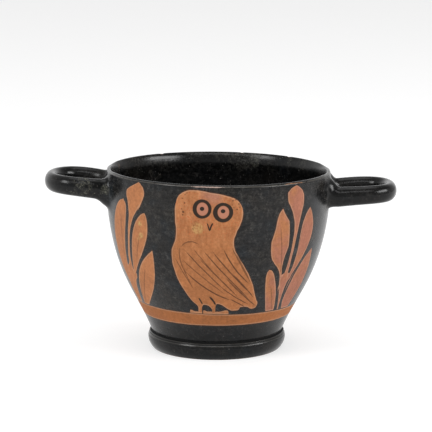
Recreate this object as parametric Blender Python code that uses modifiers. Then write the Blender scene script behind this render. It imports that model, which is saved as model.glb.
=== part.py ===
"""Two-handled drinking cup of fired clay (a skyphos) on a ring foot, 79 mm tall.

Metres, +Z up. The owl side faces -Y and the handles point along -X and +X.
The origin is on the plane that the foot stands on, below the middle of the whole cup.
"""

import math

import bmesh
import bpy
from mathutils import Matrix

# Heights above the plane that the foot stands on
CUP_HEIGHT = 0.0792
WIDEST_HEIGHT = 0.0729
NECK_HEIGHT = 0.0080
RIDGE_HEIGHT = 0.0074
SHOULDER_HEIGHT = 0.00675
FOOT_EDGE_HEIGHT = 0.0063
INSIDE_FLOOR_HEIGHT = 0.0098
RECESS_HEIGHT = 0.0047

# Radii of the turned outside
LIP_RADIUS = 0.0487
WIDEST_RADIUS = 0.04916
NECK_RADIUS = 0.0288
FOOT_EDGE_RADIUS = 0.0300
FOOT_REST_RADIUS = 0.0281

# Thicknesses of the clay
LIP_THICKNESS = 0.0024
WALL_THICKNESS = 0.0031
LOW_WALL_THICKNESS = 0.0040
FOOT_REST_WIDTH = 0.0034

# The wall's curve: its angles from upright at the neck and at the widest point,
# and how far each end pulls on the curve, as shares of the rise between them
NECK_FLARE = math.radians(21)
WIDEST_FLARE = math.radians(2.5)
NECK_PULL = 0.305
WIDEST_PULL = 0.604

# The turned groove under the wall and the thin ridge below it
GROOVE_DEPTH = 0.0004
RIDGE_DEPTH = 0.0004
RIDGE_INSET = 0.0007

# How far the foot's side swells past its edge and past its resting ring
FOOT_UPPER_SWELL = 0.00075
FOOT_LOWER_SWELL = 0.0010

# The dish of the floor inside, and how far the recess under the foot narrows
FLOOR_DISH = 0.0006
RECESS_ROUND = 0.0024

# The cup slumped a little towards +X while it was still soft
LEAN = math.radians(0.7)

# Handles: oval straps in a loop. Each strap leaves its root at a splay, dropped from the bow's height,
# and flares where the clay is worked into the wall, with the flare's middle lifted or lowered.
# The pulls are how far a straight strap and the bow's flat end reach before the loop turns.
HANDLE_HALF_WIDTH = 0.0030
HANDLE_HALF_HEIGHT = 0.0040
ROOT_HALF_HEIGHT = 0.0046
ROOT_SINK = 0.0015
ROOT_FLARE = 1.48
ROOT_FLARE_LENGTH = 0.0055
STRAP_PULL = 0.0175

LEFT_HANDLE_HEIGHT = 0.07306
LEFT_HANDLE_REACH = 0.0757
LEFT_BOW_PULL = 0.0121
LEFT_ROOT_SPREAD = 0.0224
LEFT_ROOT_SPLAY = math.radians(30)
LEFT_ROOT_DROP = 0.0024
LEFT_ROOT_LIFT = -0.0003

RIGHT_HANDLE_HEIGHT = 0.0702
RIGHT_HANDLE_REACH = 0.0777
RIGHT_BOW_PULL = 0.0131
RIGHT_ROOT_SPREAD = 0.0212
RIGHT_ROOT_SPLAY = math.radians(18)
RIGHT_ROOT_DROP = 0.0020
RIGHT_ROOT_LIFT = 0.0014

# Smoothness of the mesh
TURNS = 64
WALL_STEPS = 13
LIP_STEPS = 5
GROOVE_STEPS = 3
FOOT_STEPS = 6
RECESS_STEPS = 3
FLOOR_STEPS = 5
HANDLE_STEPS = 21
HANDLE_CROWDING = 0.5
HANDLE_SIDES = 3
SHARP_ANGLE = math.radians(40)
MERGE_DISTANCE = 0.00001

CLAY_COLOR = (0.028, 0.027, 0.026, 1.0)
CLAY_ROUGHNESS = 0.32


def clear_scene():
    for old in list(bpy.data.objects):
        bpy.data.objects.remove(old, do_unlink=True)


def make_collection(name):
    found = bpy.data.collections.new(name)
    bpy.context.scene.collection.children.link(found)
    return found


def bezier(start, first, second, end, steps, crowding=0.0):
    """Points of a cubic curve from start to end, both included, and closer at its ends with some crowding."""
    corners = (start, first, second, end)
    points = []
    for i in range(steps + 1):
        t = i / steps
        t += crowding * (3 * t**2 - 2 * t**3 - t)
        s = 1 - t
        weights = (s**3, 3 * s * s * t, 3 * s * t * t, t**3)
        points.append(tuple(sum(w * c[k] for w, c in zip(weights, corners)) for k in (0, 1)))
    return points


def wall_curve(steps):
    """The outside of the wall as (radius, height), from the neck up to the widest point."""
    rise = WIDEST_HEIGHT - NECK_HEIGHT
    low = (NECK_RADIUS, NECK_HEIGHT)
    high = (WIDEST_RADIUS, WIDEST_HEIGHT)
    low_pull = NECK_PULL * rise
    high_pull = WIDEST_PULL * rise
    low_aim = (low[0] + low_pull * math.sin(NECK_FLARE), low[1] + low_pull * math.cos(NECK_FLARE))
    high_aim = (high[0] - high_pull * math.sin(WIDEST_FLARE), high[1] - high_pull * math.cos(WIDEST_FLARE))
    return bezier(low, low_aim, high_aim, high, steps)


def wall_radius(height):
    """Outside radius of the wall at a height between the neck and the lip."""
    points = wall_curve(WALL_STEPS)
    for (r0, z0), (r1, z1) in zip(points, points[1:]):
        if z0 <= height <= z1:
            return r0 + (r1 - r0) * (height - z0) / (z1 - z0)
    return WIDEST_RADIUS


def inside_of(points):
    """The wall's inner side: each point moved in by the clay, which thins over the lower half."""
    inner = []
    count = len(points) - 1
    for i, (radius, height) in enumerate(points):
        before = points[max(i - 1, 0)]
        after = points[min(i + 1, count)]
        along_r, along_z = after[0] - before[0], after[1] - before[1]
        length = math.hypot(along_r, along_z)
        thickness = LOW_WALL_THICKNESS + (WALL_THICKNESS - LOW_WALL_THICKNESS) * min(1.0, 2 * i / count)
        inner.append((radius - thickness * along_z / length, height + thickness * along_r / length))
    return inner


def lip_points():
    """The half-round lip, from its inner side over the top to its outer side."""
    half = LIP_THICKNESS / 2
    centre = LIP_RADIUS - half
    spring = CUP_HEIGHT - half
    angles = [math.pi * (1 - i / LIP_STEPS) for i in range(LIP_STEPS + 1)]
    return [(centre + half * math.cos(angle), spring + half * math.sin(angle)) for angle in angles]


def half_round(top, bottom, depth):
    """Points between two heights, swelling out by a depth or, where it is below zero, hollowed in."""
    points = []
    for i in range(1, GROOVE_STEPS + 1):
        t = i / (GROOVE_STEPS + 1)
        radius = top[0] + (bottom[0] - top[0]) * t + depth * math.sin(math.pi * t)
        points.append((radius, top[1] + (bottom[1] - top[1]) * t))
    return points


def foot_points():
    """From under the wall down to the recess: groove, thin ridge, swelling side, resting ring and recess."""
    neck = (NECK_RADIUS, NECK_HEIGHT)
    ridge_radius = FOOT_EDGE_RADIUS - RIDGE_INSET
    ridge = (ridge_radius, RIDGE_HEIGHT)
    shoulder = (ridge_radius, SHOULDER_HEIGHT)
    groove = half_round(neck, ridge, -GROOVE_DEPTH)
    swelling = half_round(ridge, shoulder, RIDGE_DEPTH)
    side = bezier(
        (FOOT_EDGE_RADIUS, FOOT_EDGE_HEIGHT),
        (FOOT_EDGE_RADIUS + FOOT_UPPER_SWELL, FOOT_EDGE_HEIGHT / 2),
        (FOOT_REST_RADIUS + FOOT_LOWER_SWELL, FOOT_EDGE_HEIGHT / 6),
        (FOOT_REST_RADIUS, 0.0),
        FOOT_STEPS,
    )
    ring = FOOT_REST_RADIUS - FOOT_REST_WIDTH
    recess = bezier(
        (ring, 0.0),
        (ring - RECESS_ROUND / 4, RECESS_HEIGHT / 2),
        (ring - RECESS_ROUND / 4, RECESS_HEIGHT),
        (ring - RECESS_ROUND, RECESS_HEIGHT),
        RECESS_STEPS,
    )
    return groove + [ridge] + swelling + [shoulder] + side + recess + [(0.0, RECESS_HEIGHT)]


def inner_points():
    """The inside, from the middle of its floor up to just under the lip."""
    wall = inside_of(wall_curve(WALL_STEPS))
    wall = [point for point in wall if point[1] > 2 * INSIDE_FLOOR_HEIGHT]
    lowest, above = wall[0], wall[1]
    slope = (above[0] - lowest[0]) / (above[1] - lowest[1])
    drop = (lowest[1] - INSIDE_FLOOR_HEIGHT) / 2
    rounding = bezier(
        (lowest[0] / 2, INSIDE_FLOOR_HEIGHT),
        (lowest[0] - 2 * drop * slope, INSIDE_FLOOR_HEIGHT),
        (lowest[0] - drop * slope, lowest[1] - drop),
        lowest,
        FLOOR_STEPS,
    )
    return [(0.0, INSIDE_FLOOR_HEIGHT - FLOOR_DISH)] + rounding + wall[1:]


def cup_profile():
    """(radius, height) from the floor's middle up the inside, over the lip and down to under the foot."""
    outside = list(reversed(wall_curve(WALL_STEPS)))
    return inner_points() + lip_points() + outside + foot_points()


def turned_cup(collection):
    """The cup without handles, turned about Z."""
    profile = cup_profile()
    mesh = bpy.data.meshes.new("cup_profile")
    edges = [(i, i + 1) for i in range(len(profile) - 1)]
    mesh.from_pydata([(radius, 0.0, height) for radius, height in profile], edges, [])
    cup = bpy.data.objects.new("turned_cup", mesh)
    collection.objects.link(cup)
    screw = cup.modifiers.new("turn", "SCREW")
    screw.axis = "Z"
    screw.angle = 2 * math.pi
    screw.steps = TURNS
    screw.render_steps = TURNS
    screw.use_merge_vertices = True
    screw.merge_threshold = MERGE_DISTANCE
    return cup


def handle_line(height, reach, bow_pull, spread, splay, drop, lift):
    """Centre line of a loop from root to root as (x, y, z, swell), with z measured from the bow.

    The roots start inside the wall, square to it, and their points lie closest where they flare.
    """
    wall = wall_radius(height - drop)
    start = math.sqrt(wall**2 - (spread / 2) ** 2)
    bow = reach - HANDLE_HALF_WIDTH
    strap = (start + STRAP_PULL * math.cos(splay), spread / 2 + STRAP_PULL * math.sin(splay))
    half = bezier((start, spread / 2), strap, (bow, bow_pull), (bow, 0.0), HANDLE_STEPS, HANDLE_CROWDING)
    line = []
    for x, y in half:
        near = (bow - x) / (bow - start)
        taller = 1 + (ROOT_HALF_HEIGHT / HANDLE_HALF_HEIGHT - 1) * near**3
        worked = max(0.0, 1 - (x - start) / ROOT_FLARE_LENGTH) ** 2
        line.append((x, y, lift * worked - drop * near**2, taller * (1 + (ROOT_FLARE - 1) * worked)))
    x, y, z, swell = line[0]
    sunk = 1 - ROOT_SINK / wall
    line.insert(0, (sunk * x, sunk * y, z, swell))
    return line + [(x, -y, z, swell) for x, y, z, swell in reversed(line[:-1])]


def make_handle(name, collection, line, height, turn):
    """One loop, as a closed mesh turned about Z to its side of the cup."""
    oval = HANDLE_HALF_HEIGHT / HANDLE_HALF_WIDTH
    curve = bpy.data.curves.new(name, "CURVE")
    curve.dimensions = "3D"
    curve.bevel_depth = HANDLE_HALF_WIDTH
    curve.bevel_resolution = HANDLE_SIDES
    curve.use_fill_caps = True
    spline = curve.splines.new("POLY")
    spline.points.add(len(line) - 1)
    for point, (x, y, z, swell) in zip(spline.points, line):
        point.co = (x, y, z / oval, 1.0)
        point.radius = swell
    loop = bpy.data.objects.new(name + "_line", curve)
    collection.objects.link(loop)
    bpy.context.view_layer.update()
    mesh = bpy.data.meshes.new_from_object(loop.evaluated_get(bpy.context.evaluated_depsgraph_get()))
    bpy.data.objects.remove(loop, do_unlink=True)
    shape = bmesh.new()
    shape.from_mesh(mesh)
    bmesh.ops.remove_doubles(shape, verts=shape.verts, dist=MERGE_DISTANCE)
    stretch = Matrix.Diagonal((1.0, 1.0, oval, 1.0))
    place = Matrix.Translation((0.0, 0.0, height)) @ Matrix.Rotation(turn, 4, "Z")
    bmesh.ops.transform(shape, matrix=place @ stretch, verts=shape.verts)
    bmesh.ops.recalc_face_normals(shape, faces=shape.faces)
    shape.to_mesh(mesh)
    shape.free()
    handle = bpy.data.objects.new(name, mesh)
    handle.hide_render = True
    handle.display_type = "WIRE"
    collection.objects.link(handle)
    return handle


def make_handles(collection):
    left = handle_line(
        LEFT_HANDLE_HEIGHT,
        LEFT_HANDLE_REACH,
        LEFT_BOW_PULL,
        LEFT_ROOT_SPREAD,
        LEFT_ROOT_SPLAY,
        LEFT_ROOT_DROP,
        LEFT_ROOT_LIFT,
    )
    right = handle_line(
        RIGHT_HANDLE_HEIGHT,
        RIGHT_HANDLE_REACH,
        RIGHT_BOW_PULL,
        RIGHT_ROOT_SPREAD,
        RIGHT_ROOT_SPLAY,
        RIGHT_ROOT_DROP,
        RIGHT_ROOT_LIFT,
    )
    return [
        make_handle("handle_left", collection, left, LEFT_HANDLE_HEIGHT, math.pi),
        make_handle("handle_right", collection, right, RIGHT_HANDLE_HEIGHT, 0.0),
    ]


def lean_and_centre(mesh):
    """Leans the cup on its level foot, and brings the middle of the whole cup over the origin."""
    slope = math.tan(LEAN)
    for vertex in mesh.vertices:
        x, y, z = vertex.co
        vertex.co = (x + slope * z, y, z - slope * x * z / CUP_HEIGHT)
    reach = [vertex.co.x for vertex in mesh.vertices]
    mesh.transform(Matrix.Translation((-(min(reach) + max(reach)) / 2, 0.0, 0.0)))


def clay_material():
    material = bpy.data.materials.new("fired_clay")
    material.use_nodes = True
    shader = material.node_tree.nodes["Principled BSDF"]
    shader.inputs["Base Color"].default_value = CLAY_COLOR
    shader.inputs["Roughness"].default_value = CLAY_ROUGHNESS
    shader.inputs["Metallic"].default_value = 0.0
    return material


def build_skyphos():
    """The whole cup with its foot and both handles, fired as one piece."""
    parts = make_collection("skyphos_parts")
    tools = make_collection("skyphos_tools")
    cup = turned_cup(tools)
    handles = make_handles(tools)
    for handle in handles:
        union = cup.modifiers.new(handle.name, "BOOLEAN")
        union.operation = "UNION"
        union.solver = "EXACT"
        union.object = handle
    bpy.context.view_layer.update()
    mesh = bpy.data.meshes.new_from_object(cup.evaluated_get(bpy.context.evaluated_depsgraph_get()))
    for used in [cup, *handles]:
        bpy.data.objects.remove(used, do_unlink=True)
    lean_and_centre(mesh)
    mesh.shade_smooth()
    mesh.set_sharp_from_angle(angle=SHARP_ANGLE)
    mesh.materials.clear()
    mesh.materials.append(clay_material())
    skyphos = bpy.data.objects.new("skyphos", mesh)
    parts.objects.link(skyphos)


clear_scene()
build_skyphos()
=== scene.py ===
# Painted drinking cup with two handles: black gloss, an owl between olive sprigs, and a clay band.
# The cup is turned from the same sizes as its CAD solid and replaces it. Lengths below are in mm.
import math
from types import SimpleNamespace

import bmesh
import bpy
from mathutils import Matrix, Vector
from mathutils.kdtree import KDTree


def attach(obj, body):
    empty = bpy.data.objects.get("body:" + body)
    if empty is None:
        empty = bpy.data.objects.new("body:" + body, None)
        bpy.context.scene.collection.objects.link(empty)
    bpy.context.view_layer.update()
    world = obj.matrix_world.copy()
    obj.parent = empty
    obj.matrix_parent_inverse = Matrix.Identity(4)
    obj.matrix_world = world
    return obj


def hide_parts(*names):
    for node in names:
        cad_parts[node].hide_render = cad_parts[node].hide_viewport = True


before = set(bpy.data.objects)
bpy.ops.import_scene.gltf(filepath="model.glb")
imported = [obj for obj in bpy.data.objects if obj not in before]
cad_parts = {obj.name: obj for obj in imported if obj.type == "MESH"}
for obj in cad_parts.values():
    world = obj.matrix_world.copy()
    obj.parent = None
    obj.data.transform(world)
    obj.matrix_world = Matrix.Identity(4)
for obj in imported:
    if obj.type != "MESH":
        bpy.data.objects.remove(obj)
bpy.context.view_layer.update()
mm = 0.001
print("frame loaded with", sorted(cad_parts))


class Wire:
    # one value on its way through a node tree, so that nodes can be written as sums
    def __init__(self, tree, socket):
        self.tree, self.socket = tree, socket

    def node(self, kind, settings=None, sockets=None, out=0):
        made = self.tree.nodes.new(kind)
        for name, value in (settings or {}).items():
            if name == "points":
                line = made.mapping.curves[0]
                while len(line.points) < len(value):
                    line.points.new(0.5, 0.5)
                for point, spot in zip(line.points, value):
                    point.location, point.handle_type = spot, "AUTO_CLAMPED"
                made.mapping.extend = "HORIZONTAL"
                made.mapping.update()
            else:
                setattr(made, name, value)
        for name, value in (sockets or {}).items():
            if isinstance(value, Wire):
                self.tree.links.new(value.socket, made.inputs[name])
            else:
                made.inputs[name].default_value = value
        return Wire(self.tree, made.outputs[out])

    def maths(self, operation, *others):
        values = dict(enumerate((self,) + others))
        return self.node("ShaderNodeMath", {"operation": operation}, values)

    def flipped(self, operation, number):
        return self.node("ShaderNodeMath", {"operation": operation}, {0: number, 1: self})

    def __add__(self, other): return self.maths("ADD", other)
    def __radd__(self, other): return self.maths("ADD", other)
    def __sub__(self, other): return self.maths("SUBTRACT", other)
    def __rsub__(self, other): return self.flipped("SUBTRACT", other)
    def __mul__(self, other): return self.maths("MULTIPLY", other)
    def __rmul__(self, other): return self.maths("MULTIPLY", other)
    def __truediv__(self, other): return self.maths("DIVIDE", other)
    def __pow__(self, other): return self.maths("POWER", other)
    def __neg__(self): return self.maths("MULTIPLY", -1.0)
    def __abs__(self): return self.maths("ABSOLUTE")

    def least(self, other): return self.maths("MINIMUM", other)
    def most(self, other): return self.maths("MAXIMUM", other)

    def parts(self):
        first = self.node("ShaderNodeSeparateXYZ", None, {0: self})
        return [first] + [Wire(self.tree, first.socket.node.outputs[i]) for i in (1, 2)]

    def vector(self, y=0.0, z=0.0):
        return self.node("ShaderNodeCombineXYZ", None, {0: self, 1: y, 2: z})

    def vectorMaths(self, operation, other=None, out=0):
        return self.node("ShaderNodeVectorMath", {"operation": operation},
                         {0: self} if other is None else {0: self, 1: other}, out)

    def scaled(self, amount):
        return self.node("ShaderNodeVectorMath", {"operation": "SCALE"}, {0: self, "Scale": amount})

    def blend(self, first, second):
        # colour between first and second by this share
        sockets = {0: self, 6: first, 7: second}
        return self.node("ShaderNodeMix", {"data_type": "RGBA"}, sockets, 2)

    def step(self, low, high):
        # 0 below low, 1 above high, and smooth between them
        sockets = {"Value": self, "From Min": low, "From Max": high}
        return self.node("ShaderNodeMapRange", {"interpolation_type": "SMOOTHSTEP"}, sockets)

    def curve(self, points):
        # a value read from a smooth line through points of (this value, wanted value)
        lowIn, spanIn = points[0][0], points[-1][0] - points[0][0]
        lowOut = min(point[1] for point in points)
        spanOut = max(point[1] for point in points) - lowOut
        shares = [((a - lowIn) / spanIn, (b - lowOut) / spanOut) for a, b in points]
        share = (self - lowIn) / spanIn
        return share.node("ShaderNodeFloatCurve", {"points": shares}, {"Value": share}) * spanOut + lowOut

    def stretched(self, scale):
        return self.vectorMaths("MULTIPLY", scale)

    def noise(self, scale, detail=3.0, roughness=0.5, out=0):
        sockets = {"Vector": self, "Scale": scale, "Detail": detail, "Roughness": roughness}
        return self.node("ShaderNodeTexNoise", None, sockets, out)


def newTree(name, sizes):
    tree = bpy.data.node_groups.new(name, "GeometryNodeTree")
    tree.interface.new_socket("Geometry", in_out="INPUT", socket_type="NodeSocketGeometry")
    for label, kind in sizes.items():
        tree.interface.new_socket(label, in_out="INPUT", socket_type="NodeSocket" + kind)
    tree.interface.new_socket("Geometry", in_out="OUTPUT", socket_type="NodeSocketGeometry")
    start = tree.nodes.new("NodeGroupInput")
    return tree, {socket.name: Wire(tree, socket) for socket in start.outputs if socket.name}


def closeTree(tree, shape, size):
    shape = shape.node("GeometryNodeMergeByDistance", None, {
        "Geometry": shape, "Distance": size["Join distance"]})
    shape = shape.node("GeometryNodeSetShadeSmooth", None, {"Geometry": shape})
    shape = shape.node("GeometryNodeRealizeInstances", None, {"Geometry": shape})
    shape = shape.node("GeometryNodeSetMaterial", None, {"Geometry": shape, "Material": size["Clay"]})
    end = tree.nodes.new("NodeGroupOutput")
    tree.links.new(shape.socket, end.inputs["Geometry"])


def bake(name, mesh, tree, values):
    # the tree's result on a mesh, as a plain mesh
    holder = bpy.data.objects.new(name, mesh)
    bpy.context.scene.collection.objects.link(holder)
    modifier = holder.modifiers.new(name, "NODES")
    modifier.node_group = tree
    for item in tree.interface.items_tree:
        if item.in_out == "INPUT" and item.name in values:
            modifier[item.identifier] = values[item.name]
    bpy.context.view_layer.update()
    made = bpy.data.meshes.new_from_object(holder.evaluated_get(bpy.context.evaluated_depsgraph_get()))
    bpy.data.objects.remove(holder, do_unlink=True)
    return made


# The turned cup

cup = {
    "height": 79.14, "widestHeight": 72.9, "neckHeight": 8.0, "ridgeHeight": 7.4, "shoulderHeight": 6.75,
    "footEdgeHeight": 6.3, "floorHeight": 9.8, "recessHeight": 4.7,
    "lipRadius": 48.7, "widestRadius": 49.14, "neckRadius": 28.8, "footEdgeRadius": 30.0,
    "footRestRadius": 28.1, "footRestWidth": 3.4,
    "lipThickness": 2.4, "lipInnerFall": 6.0, "lipInnerSwell": 2.2, "lipInnerRound": 0.6,
    "wallThickness": 3.1, "lowWallThickness": 4.0,
    "neckFlare": 21.0, "widestFlare": 2.5,  # degrees from upright
    "neckPull": 0.305, "widestPull": 0.604,
    "grooveDepth": 0.4, "ridgeDepth": 0.4, "ridgeInset": 0.7,
    "footUpperSwell": 0.75, "footLowerSwell": 1.0, "floorDish": 0.6, "recessRound": 2.4,
    "scoreHeight": 5.55, "scoreWidth": 0.7, "scoreDepth": 0.13,  # a line cut round the foot under its edge
    "lean": 0.7,  # degrees, towards +X
    "turns": 276, "wallSteps": 72, "lipSteps": 16, "grooveSteps": 6, "footSteps": 34, "recessSteps": 8,
    "floorSteps": 14, "longestStep": 1.1,
    "footSoftening": 2, "softFoot": (0.2, 8.6), "widestSoftening": 16, "softTop": (67.5, 77.0),
    "wheelMarks": 0.05, "wheelMarkSpacing": 2.6, "wheelMarkSway": 0.35,
    "unevenness": 0.14, "unevenSway": 0.9, "unevenRise": 22.0, "seed": 4.0,
    "markFade": 4.0, "markLipGap": 0.6, "markFootTop": 10.2, "insidePoints": 60, "markPole": 6.0,
}


def bezier(start, first, second, end, steps, crowding=0.0):
    points = []
    for i in range(steps + 1):
        t = i / steps
        t += crowding * (3 * t**2 - 2 * t**3 - t)
        s = 1 - t
        weights = (s**3, 3 * s * s * t, 3 * s * t * t, t**3)
        corners = (start, first, second, end)
        points.append(tuple(sum(w * c[k] for w, c in zip(weights, corners)) for k in (0, 1)))
    return points


def wallCurve(steps):
    # outside of the wall as (radius, height), from the neck up to the widest point
    rise = cup["widestHeight"] - cup["neckHeight"]
    low, high = (cup["neckRadius"], cup["neckHeight"]), (cup["widestRadius"], cup["widestHeight"])
    neck, widest = math.radians(cup["neckFlare"]), math.radians(cup["widestFlare"])
    lowPull, highPull = cup["neckPull"] * rise, cup["widestPull"] * rise
    lowAim = (low[0] + lowPull * math.sin(neck), low[1] + lowPull * math.cos(neck))
    highAim = (high[0] - highPull * math.sin(widest), high[1] - highPull * math.cos(widest))
    return bezier(low, lowAim, highAim, high, steps)


def wallRadius(height):
    points = wallCurve(cup["wallSteps"])
    for (r0, z0), (r1, z1) in zip(points, points[1:]):
        if z0 <= height <= z1:
            return r0 + (r1 - r0) * (height - z0) / (z1 - z0)
    return cup["widestRadius"]


def along(points, i):
    # which way a line runs at one of its points, and over what length
    before, after = points[max(i - 1, 0)], points[min(i + 1, len(points) - 1)]
    alongR, alongZ = after[0] - before[0], after[1] - before[1]
    return alongR, alongZ, math.hypot(alongR, alongZ)


def insideOf(points):
    # the inner side of the wall, whose clay thins over the lower half
    inner, last = [], len(points) - 1
    thinning = cup["wallThickness"] - cup["lowWallThickness"]
    for i, (radius, height) in enumerate(points):
        alongR, alongZ, length = along(points, i)
        clay = cup["lowWallThickness"] + thinning * min(1.0, 2 * i / last)
        inner.append((radius - clay * alongZ / length, height + clay * alongR / length))
    return inner


def lipPoints():
    # rounded over, and more gently on the inner side, where the clay swells below the edge
    half, fall = cup["lipThickness"] / 2, cup["lipInnerFall"]
    centre = cup["lipRadius"] - half
    points = []
    for i in range(cup["lipSteps"] + 1):
        angle = math.pi * (1 - i / cup["lipSteps"])
        share = 1 - math.sin(angle)
        if math.cos(angle) < 0:
            swell = cup["lipInnerSwell"] * share ** cup["lipInnerRound"]
            points.append((centre - swell, cup["height"] - fall * share))
        else:
            points.append((centre + half * math.cos(angle), cup["height"] - half * share))
    return points


def halfRound(top, bottom, depth):
    points = []
    for i in range(1, cup["grooveSteps"] + 1):
        t = i / (cup["grooveSteps"] + 1)
        radius = top[0] + (bottom[0] - top[0]) * t + depth * math.sin(math.pi * t)
        points.append((radius, top[1] + (bottom[1] - top[1]) * t))
    return points


def footPoints():
    # groove, thin ridge, swelling side, resting ring and the recess under the foot
    edge, rest = cup["footEdgeRadius"], cup["footRestRadius"]
    edgeHeight, recess = cup["footEdgeHeight"], cup["recessHeight"]
    ridge = (edge - cup["ridgeInset"], cup["ridgeHeight"])
    shoulder = (edge - cup["ridgeInset"], cup["shoulderHeight"])
    groove = halfRound((cup["neckRadius"], cup["neckHeight"]), ridge, -cup["grooveDepth"])
    swelling = halfRound(ridge, shoulder, cup["ridgeDepth"])
    side = bezier((edge, edgeHeight), (edge + cup["footUpperSwell"], edgeHeight / 2),
                  (rest + cup["footLowerSwell"], edgeHeight / 6), (rest, 0.0), cup["footSteps"])
    half = cup["scoreWidth"] / 2
    scored = [max(0.0, 1 - abs(height - cup["scoreHeight"]) / half) for _, height in side]
    side = [(radius - cup["scoreDepth"] * share, height) for share, (radius, height) in zip(scored, side)]
    ring, rounding = rest - cup["footRestWidth"], cup["recessRound"]
    hollow = bezier((ring, 0.0), (ring - rounding / 4, recess / 2),
                    (ring - rounding / 4, recess), (ring - rounding, recess), cup["recessSteps"])
    return groove + [ridge] + swelling + [shoulder] + side + hollow + [(0.0, recess)]


def innerPoints():
    # from the middle of the floor up the inside to just under the lip
    wall = [point for point in insideOf(wallCurve(cup["wallSteps"])) if point[1] > 2 * cup["floorHeight"]]
    lowest, above = wall[0], wall[1]
    slope = (above[0] - lowest[0]) / (above[1] - lowest[1])
    drop = (lowest[1] - cup["floorHeight"]) / 2
    rounding = bezier((lowest[0] / 2, cup["floorHeight"]), (lowest[0] - 2 * drop * slope, cup["floorHeight"]),
                      (lowest[0] - drop * slope, lowest[1] - drop), lowest, cup["floorSteps"])
    return [(0.0, cup["floorHeight"] - cup["floorDish"])] + rounding + wall[1:]


def cupProfile():
    # (radius, height) all the way round the clay, in short even steps
    corners = innerPoints() + lipPoints() + list(reversed(wallCurve(cup["wallSteps"]))) + footPoints()
    points = [corners[0]]
    for start, end in zip(corners, corners[1:]):
        count = max(1, math.ceil(math.dist(start, end) / cup["longestStep"]))
        points += [(start[0] + (end[0] - start[0]) * i / count, start[1] + (end[1] - start[1]) * i / count)
                   for i in range(1, count + 1)]
    points = softened(points, cup["softFoot"], cup["footSoftening"])
    return softened(points, cup["softTop"], cup["widestSoftening"])


def softened(points, heights, turns):
    # creases between two heights are rolled over
    for _ in range(turns):
        eased = list(points)
        for i in range(1, len(points) - 1):
            before, here, after = points[i - 1:i + 2]
            if heights[0] < here[1] < heights[1]:
                eased[i] = tuple((a + 2 * b + c) / 4 for a, b, c in zip(before, here, after))
        points = eased
    return points


def turnedWallTree():
    sizes = {"Turns": "Int", "Profile points": "Int", "Wheel marks": "Float", "Wheel mark spacing": "Float",
             "Unevenness": "Float", "Seed": "Float", "Join distance": "Float", "Clay": "Material"}
    tree, size = newTree("turnedWall", sizes)
    turns, count = size["Turns"], size["Profile points"]
    grid = turns.node("GeometryNodeMeshGrid", None,
                      {"Size X": 1.0, "Size Y": 1.0, "Vertices X": turns + 1, "Vertices Y": count})
    across, along, _ = turns.node("GeometryNodeInputPosition").parts()
    angle = (across + 0.5) * (2 * math.pi)
    index = ((along + 0.5) * (count - 1)).maths("ROUND")

    def sampled(value, kind, out=0):
        return turns.node("GeometryNodeSampleIndex", {"data_type": kind, "domain": "POINT"},
                          {"Geometry": size["Geometry"], "Value": value, "Index": index}, out)

    def attribute(name, kind):
        return turns.node("GeometryNodeInputNamedAttribute", {"data_type": kind}, {"Name": name})

    profile = sampled(turns.node("GeometryNodeInputPosition"), "FLOAT_VECTOR").parts()
    outward = sampled(attribute("outward", "FLOAT_VECTOR"), "FLOAT_VECTOR").parts()
    worked = sampled(attribute("worked", "FLOAT"), "FLOAT")
    around = sampled(attribute("around", "FLOAT"), "FLOAT")
    cosine, sine = angle.maths("COSINE"), angle.maths("SINE")
    sway, wide = cup["wheelMarkSway"], cup["unevenSway"]
    ring = (cosine * sway).vector(sine * sway, around / size["Wheel mark spacing"] + size["Seed"])
    marks = ring.noise(1.0, 2.0) - 0.5
    soft = (cosine * wide).vector(sine * wide, around * cup["unevenRise"] + size["Seed"] * 3.1)
    sag = soft.noise(1.0, 1.0)
    moved = (marks * size["Wheel marks"] * 2.0 - sag * size["Unevenness"]) * worked
    radius = profile[0] + outward[0] * moved
    height = profile[2] + outward[2] * moved
    shape = grid.node("GeometryNodeSetPosition", None,
                      {"Geometry": grid, "Position": (radius * cosine).vector(radius * sine, height)})
    closeTree(tree, shape, size)
    return tree


def turnedCup(clay):
    points = cupProfile()
    mesh = bpy.data.meshes.new("cupProfile")
    edges = [(i, i + 1) for i in range(len(points) - 1)]
    mesh.from_pydata([(r * mm, 0.0, z * mm) for r, z in points], edges, [])
    outward = mesh.attributes.new("outward", "FLOAT_VECTOR", "POINT")
    worked = mesh.attributes.new("worked", "FLOAT", "POINT")
    around = mesh.attributes.new("around", "FLOAT", "POINT")
    length = 0.0
    for i, (radius, height) in enumerate(points):
        alongR, alongZ, step = along(points, i)
        outward.data[i].vector = (-alongZ / step, 0.0, alongR / step)
        belowLip = min(1.0, max(0.0, (cup["height"] - cup["markLipGap"] - height) / cup["markFade"]))
        aboveFoot = min(1.0, max(0.0, (height - cup["markFootTop"]) / cup["markFade"]))
        if i <= cup["insidePoints"]:
            aboveFoot = 1.0
        aroundAxis = min(1.0, radius / cup["markPole"])  # the marks die out at the poles
        worked.data[i].value = belowLip * aboveFoot * aroundAxis
        length += math.dist((radius, height), points[max(i - 1, 0)])
        around.data[i].value = length * mm
    values = {"Turns": cup["turns"], "Profile points": len(points), "Wheel marks": cup["wheelMarks"] * mm,
              "Wheel mark spacing": cup["wheelMarkSpacing"] * mm, "Unevenness": cup["unevenness"] * mm,
              "Seed": cup["seed"], "Join distance": 0.01 * mm, "Clay": clay}
    return bake("turnedCup", mesh, turnedWallTree(), values)


# The handles

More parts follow.
